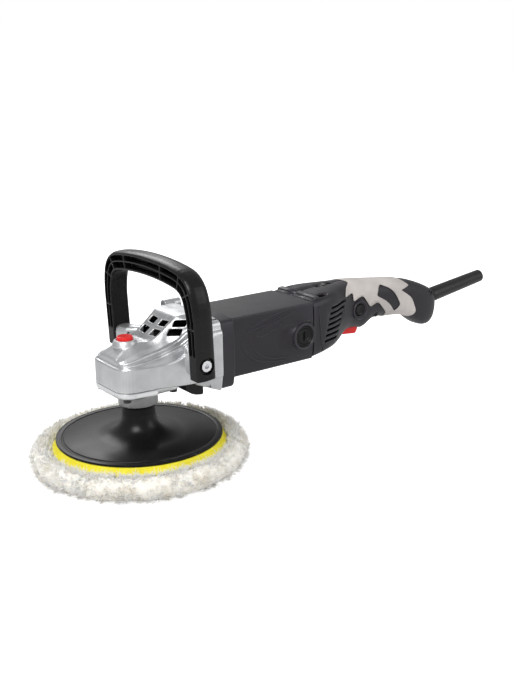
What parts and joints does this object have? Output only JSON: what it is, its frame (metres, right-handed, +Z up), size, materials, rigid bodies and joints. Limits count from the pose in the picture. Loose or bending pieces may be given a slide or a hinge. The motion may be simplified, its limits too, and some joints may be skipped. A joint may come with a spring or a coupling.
{
  "type": "rotary polisher",
  "caption": "Corded rotary polisher with a bevel gear head, loop handle, rear trigger grip and a wool pad on a foam-backed plate.",
  "frame": {"origin": "on the spindle axis at the working face of the wool pad", "axes": "+Z up along the spindle, +X from the spindle to the rear grip, the lock-on button side is -Y"},
  "size_m": [0.6297, 0.225, 0.2158],
  "materials": {
    "cast_aluminium": "die cast, satin, fine grain",
    "steel": "ground steel",
    "dark_steel": "blackened steel",
    "zinc": "bright zinc plate",
    "housing_plastic": "fine spark-eroded grain, dark grey",
    "black_plastic": "semi-gloss black",
    "grip_rubber": "soft overmould, warm light grey",
    "cord_rubber": "black rubber",
    "red_plastic": "bright red",
    "foam": "yellow open-cell foam",
    "wool": "cream tufted wool",
    "copper": "lacquered copper wire",
    "brass": "pressed brass",
    "carbon": "dull graphite and circuit board"
  },
  "bodies": {
    "casing": {"gear_housing": "cast_aluminium", "bearing_cover": "cast_aluminium", "spindle_bearing": "steel", "needle_bearing": "steel", "front_bearing": "steel", "rear_bearing": "steel", "stator_core": "dark_steel", "cover_screw_1": "dark_steel", "cover_screw_2": "dark_steel", "cover_screw_3": "dark_steel", "cover_screw_4": "dark_steel", "housing_screw_1": "dark_steel", "housing_screw_2": "dark_steel", "housing_screw_3": "dark_steel", "housing_screw_4": "dark_steel", "grip_screw_1": "dark_steel", "grip_screw_2": "dark_steel", "rear_screw_left": "dark_steel", "rear_screw_right": "dark_steel", "handle_bolt_left": "zinc", "handle_bolt_right": "zinc", "motor_housing": "housing_plastic", "handle_shell_left": "housing_plastic", "handle_shell_right": "housing_plastic", "loop_handle": "black_plastic", "air_deflector": "black_plastic", "brush_cap_left": "black_plastic", "brush_cap_right": "black_plastic", "trigger_switch": "black_plastic", "air_baffle": "black_plastic", "cord_clamp": "black_plastic", "grip_cover_left": "grip_rubber", "grip_cover_right": "grip_rubber", "cord_guard": "cord_rubber", "power_cord": "cord_rubber", "field_winding_upper": "copper", "field_winding_lower": "copper", "brush_holder_left": "brass", "brush_holder_right": "brass", "carbon_brush_left": "carbon", "carbon_brush_right": "carbon", "speed_controller": "carbon"},
    "spindle": {"spindle": "steel", "bevel_gear": "steel", "backing_plate": "black_plastic", "foam_pad": "foam", "hook_face": "cord_rubber", "wool_pad": "wool"},
    "armature": {"armature_shaft": "steel", "armature_core": "dark_steel", "armature_winding_front": "copper", "armature_winding_rear": "copper", "commutator": "copper", "cooling_fan": "black_plastic", "pinion": "steel"},
    "spindle_lock": {"lock_button": "red_plastic", "lock_pin": "steel"},
    "trigger": {"trigger": "red_plastic"},
    "lock_on_button": {"lock_on_button": "black_plastic"},
    "speed_dial": {"speed_dial": "black_plastic"}
  },
  "joints": [
    {"name": "spindle_spin", "type": "hinge", "parent": "casing", "child": "spindle", "pos_m": [0, 0, 0], "axis": [0, 0, 1], "continuous": true},
    {"name": "armature_spin", "type": "hinge", "parent": "casing", "child": "armature", "pos_m": [0, 0, 0.109], "axis": [1, 0, 0], "continuous": true},
    {"name": "lock_press", "type": "slide", "parent": "casing", "child": "spindle_lock", "axis": [0, 0, -1], "range_m": [0, 0.003]},
    {"name": "trigger_pull", "type": "hinge", "parent": "casing", "child": "trigger", "pos_m": [0.264, 0, 0.097], "axis": [0, -1, 0], "range_deg": [0, 5]},
    {"name": "lock_on_press", "type": "slide", "parent": "casing", "child": "lock_on_button", "axis": [0, 1, 0], "range_m": [0, 0.0025]},
    {"name": "dial_turn", "type": "hinge", "parent": "casing", "child": "speed_dial", "pos_m": [0.248, 0, 0.1395], "axis": [0, 1, 0], "range_deg": [0, 270]}
  ],
  "couplings": [
    {"joint": "armature_spin", "follows": "spindle_spin", "ratio": 3.875}
  ]
}
